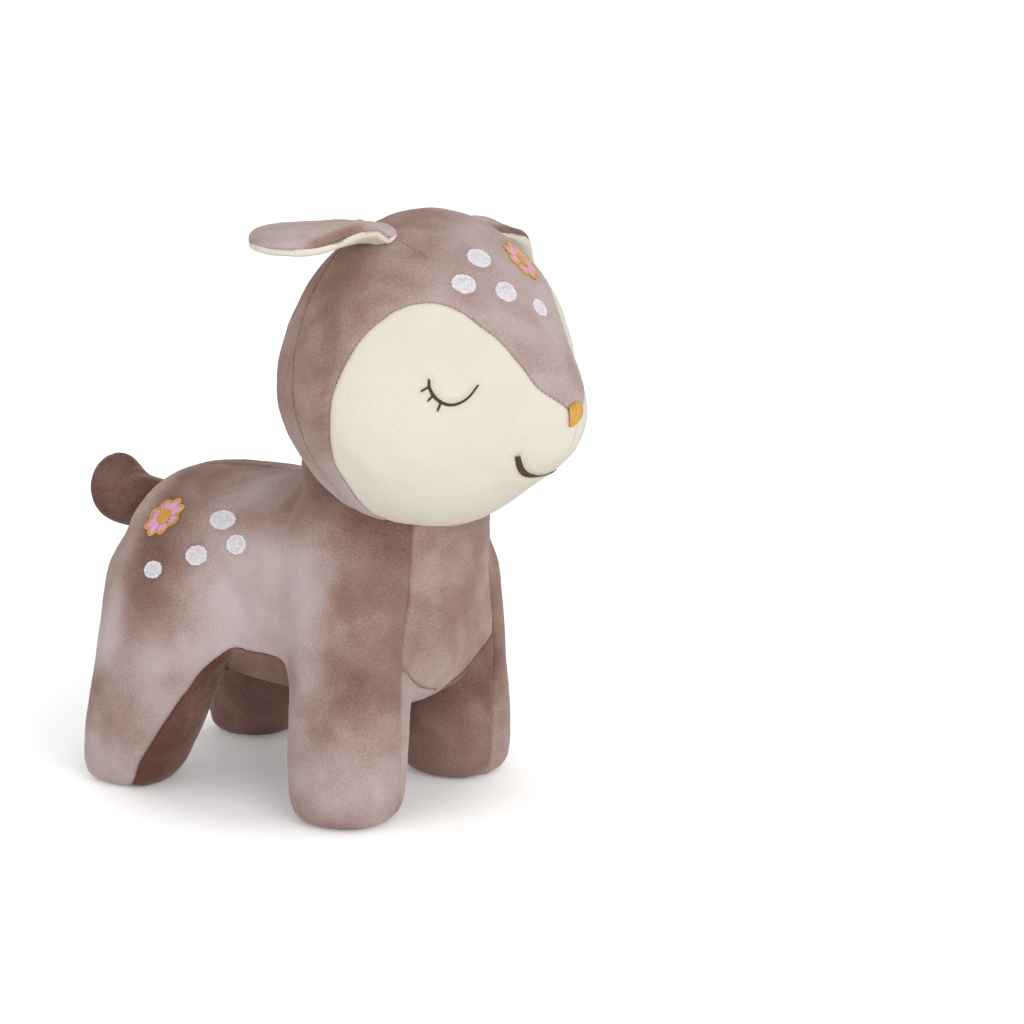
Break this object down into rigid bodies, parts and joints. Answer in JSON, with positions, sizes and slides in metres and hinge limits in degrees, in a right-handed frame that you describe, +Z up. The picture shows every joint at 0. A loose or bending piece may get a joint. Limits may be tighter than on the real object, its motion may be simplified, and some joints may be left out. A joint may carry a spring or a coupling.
{
  "type": "plush deer",
  "caption": "Standing plush deer in taupe and cream velour, sewn from panels over stuffing, with embroidered face, spots and flowers, floppy hinged ears and a tail that wags.",
  "frame": {"origin": "middle of the deer's outline on the surface it stands on", "axes": "+Z up, the deer faces -Y, its left side is +X"},
  "size_m": [0.1884, 0.2745, 0.2763],
  "materials": {
    "taupe_velour": "short-pile velour, pinkish taupe, mottled by the lie of its nap",
    "cream_velour": "short-pile velour, warm cream",
    "gold_thread": "satin-stitched rayon thread, gold",
    "pink_thread": "satin-stitched rayon thread, rose pink",
    "white_thread": "satin-stitched thread, pale lilac white",
    "brown_thread": "satin-stitched thread, dark brown",
    "fibre_fill": "loose polyester fibre fill, hidden inside"
  },
  "bodies": {
    "body": {"torso_stuffing": "fibre_fill", "leg_stuffing_front_right": "fibre_fill", "leg_stuffing_front_left": "fibre_fill", "leg_stuffing_hind_right": "fibre_fill", "leg_stuffing_hind_left": "fibre_fill", "side_panel_right": "taupe_velour", "side_panel_left": "taupe_velour", "chest_belly_panel": "taupe_velour", "inner_leg_panel_front_right": "taupe_velour", "inner_leg_panel_front_left": "taupe_velour", "inner_leg_panel_hind_right": "taupe_velour", "inner_leg_panel_hind_left": "taupe_velour", "head_stuffing": "fibre_fill", "crown_panel": "taupe_velour", "cheek_panel_right": "cream_velour", "cheek_panel_left": "cream_velour", "head_back_panel_right": "taupe_velour", "head_back_panel_left": "taupe_velour", "nose_embroidery": "gold_thread", "eye_right": "brown_thread", "eye_left": "brown_thread", "mouth_embroidery": "brown_thread", "head_spot_1": "white_thread", "head_spot_2": "white_thread", "head_spot_3": "white_thread", "head_spot_4": "white_thread", "head_flower_outline": "gold_thread", "head_flower_petals": "pink_thread", "head_flower_centre": "gold_thread", "flank_spot_1": "white_thread", "flank_spot_2": "white_thread", "flank_spot_3": "white_thread", "flank_spot_4": "white_thread", "flank_flower_outline": "gold_thread", "flank_flower_petals": "pink_thread", "flank_flower_centre": "gold_thread"},
    "ear_right": {"ear_outer_right": "taupe_velour", "ear_lining_right": "cream_velour"},
    "ear_left": {"ear_outer_left": "taupe_velour", "ear_lining_left": "cream_velour"},
    "tail": {"tail_stuffing": "fibre_fill", "tail_cover": "taupe_velour"}
  },
  "joints": [
    {"name": "ear_right_flop", "type": "hinge", "parent": "body", "child": "ear_right", "pos_m": [-0.0344, -0.05017, 0.2688], "axis": [0.342, 0.9397, 0], "range_deg": [-20, 60], "stiffness_Nm_per_rad": 0.03},
    {"name": "ear_left_flop", "type": "hinge", "parent": "body", "child": "ear_left", "pos_m": [0.0344, -0.05017, 0.2688], "axis": [0.0349, -0.9994, 0], "range_deg": [-5, 60], "stiffness_Nm_per_rad": 0.03},
    {"name": "tail_wag", "type": "hinge", "parent": "body", "child": "tail", "pos_m": [0, 0.1055, 0.129], "axis": [1, 0, 0], "range_deg": [-25, 25], "stiffness_Nm_per_rad": 0.04}
  ]
}
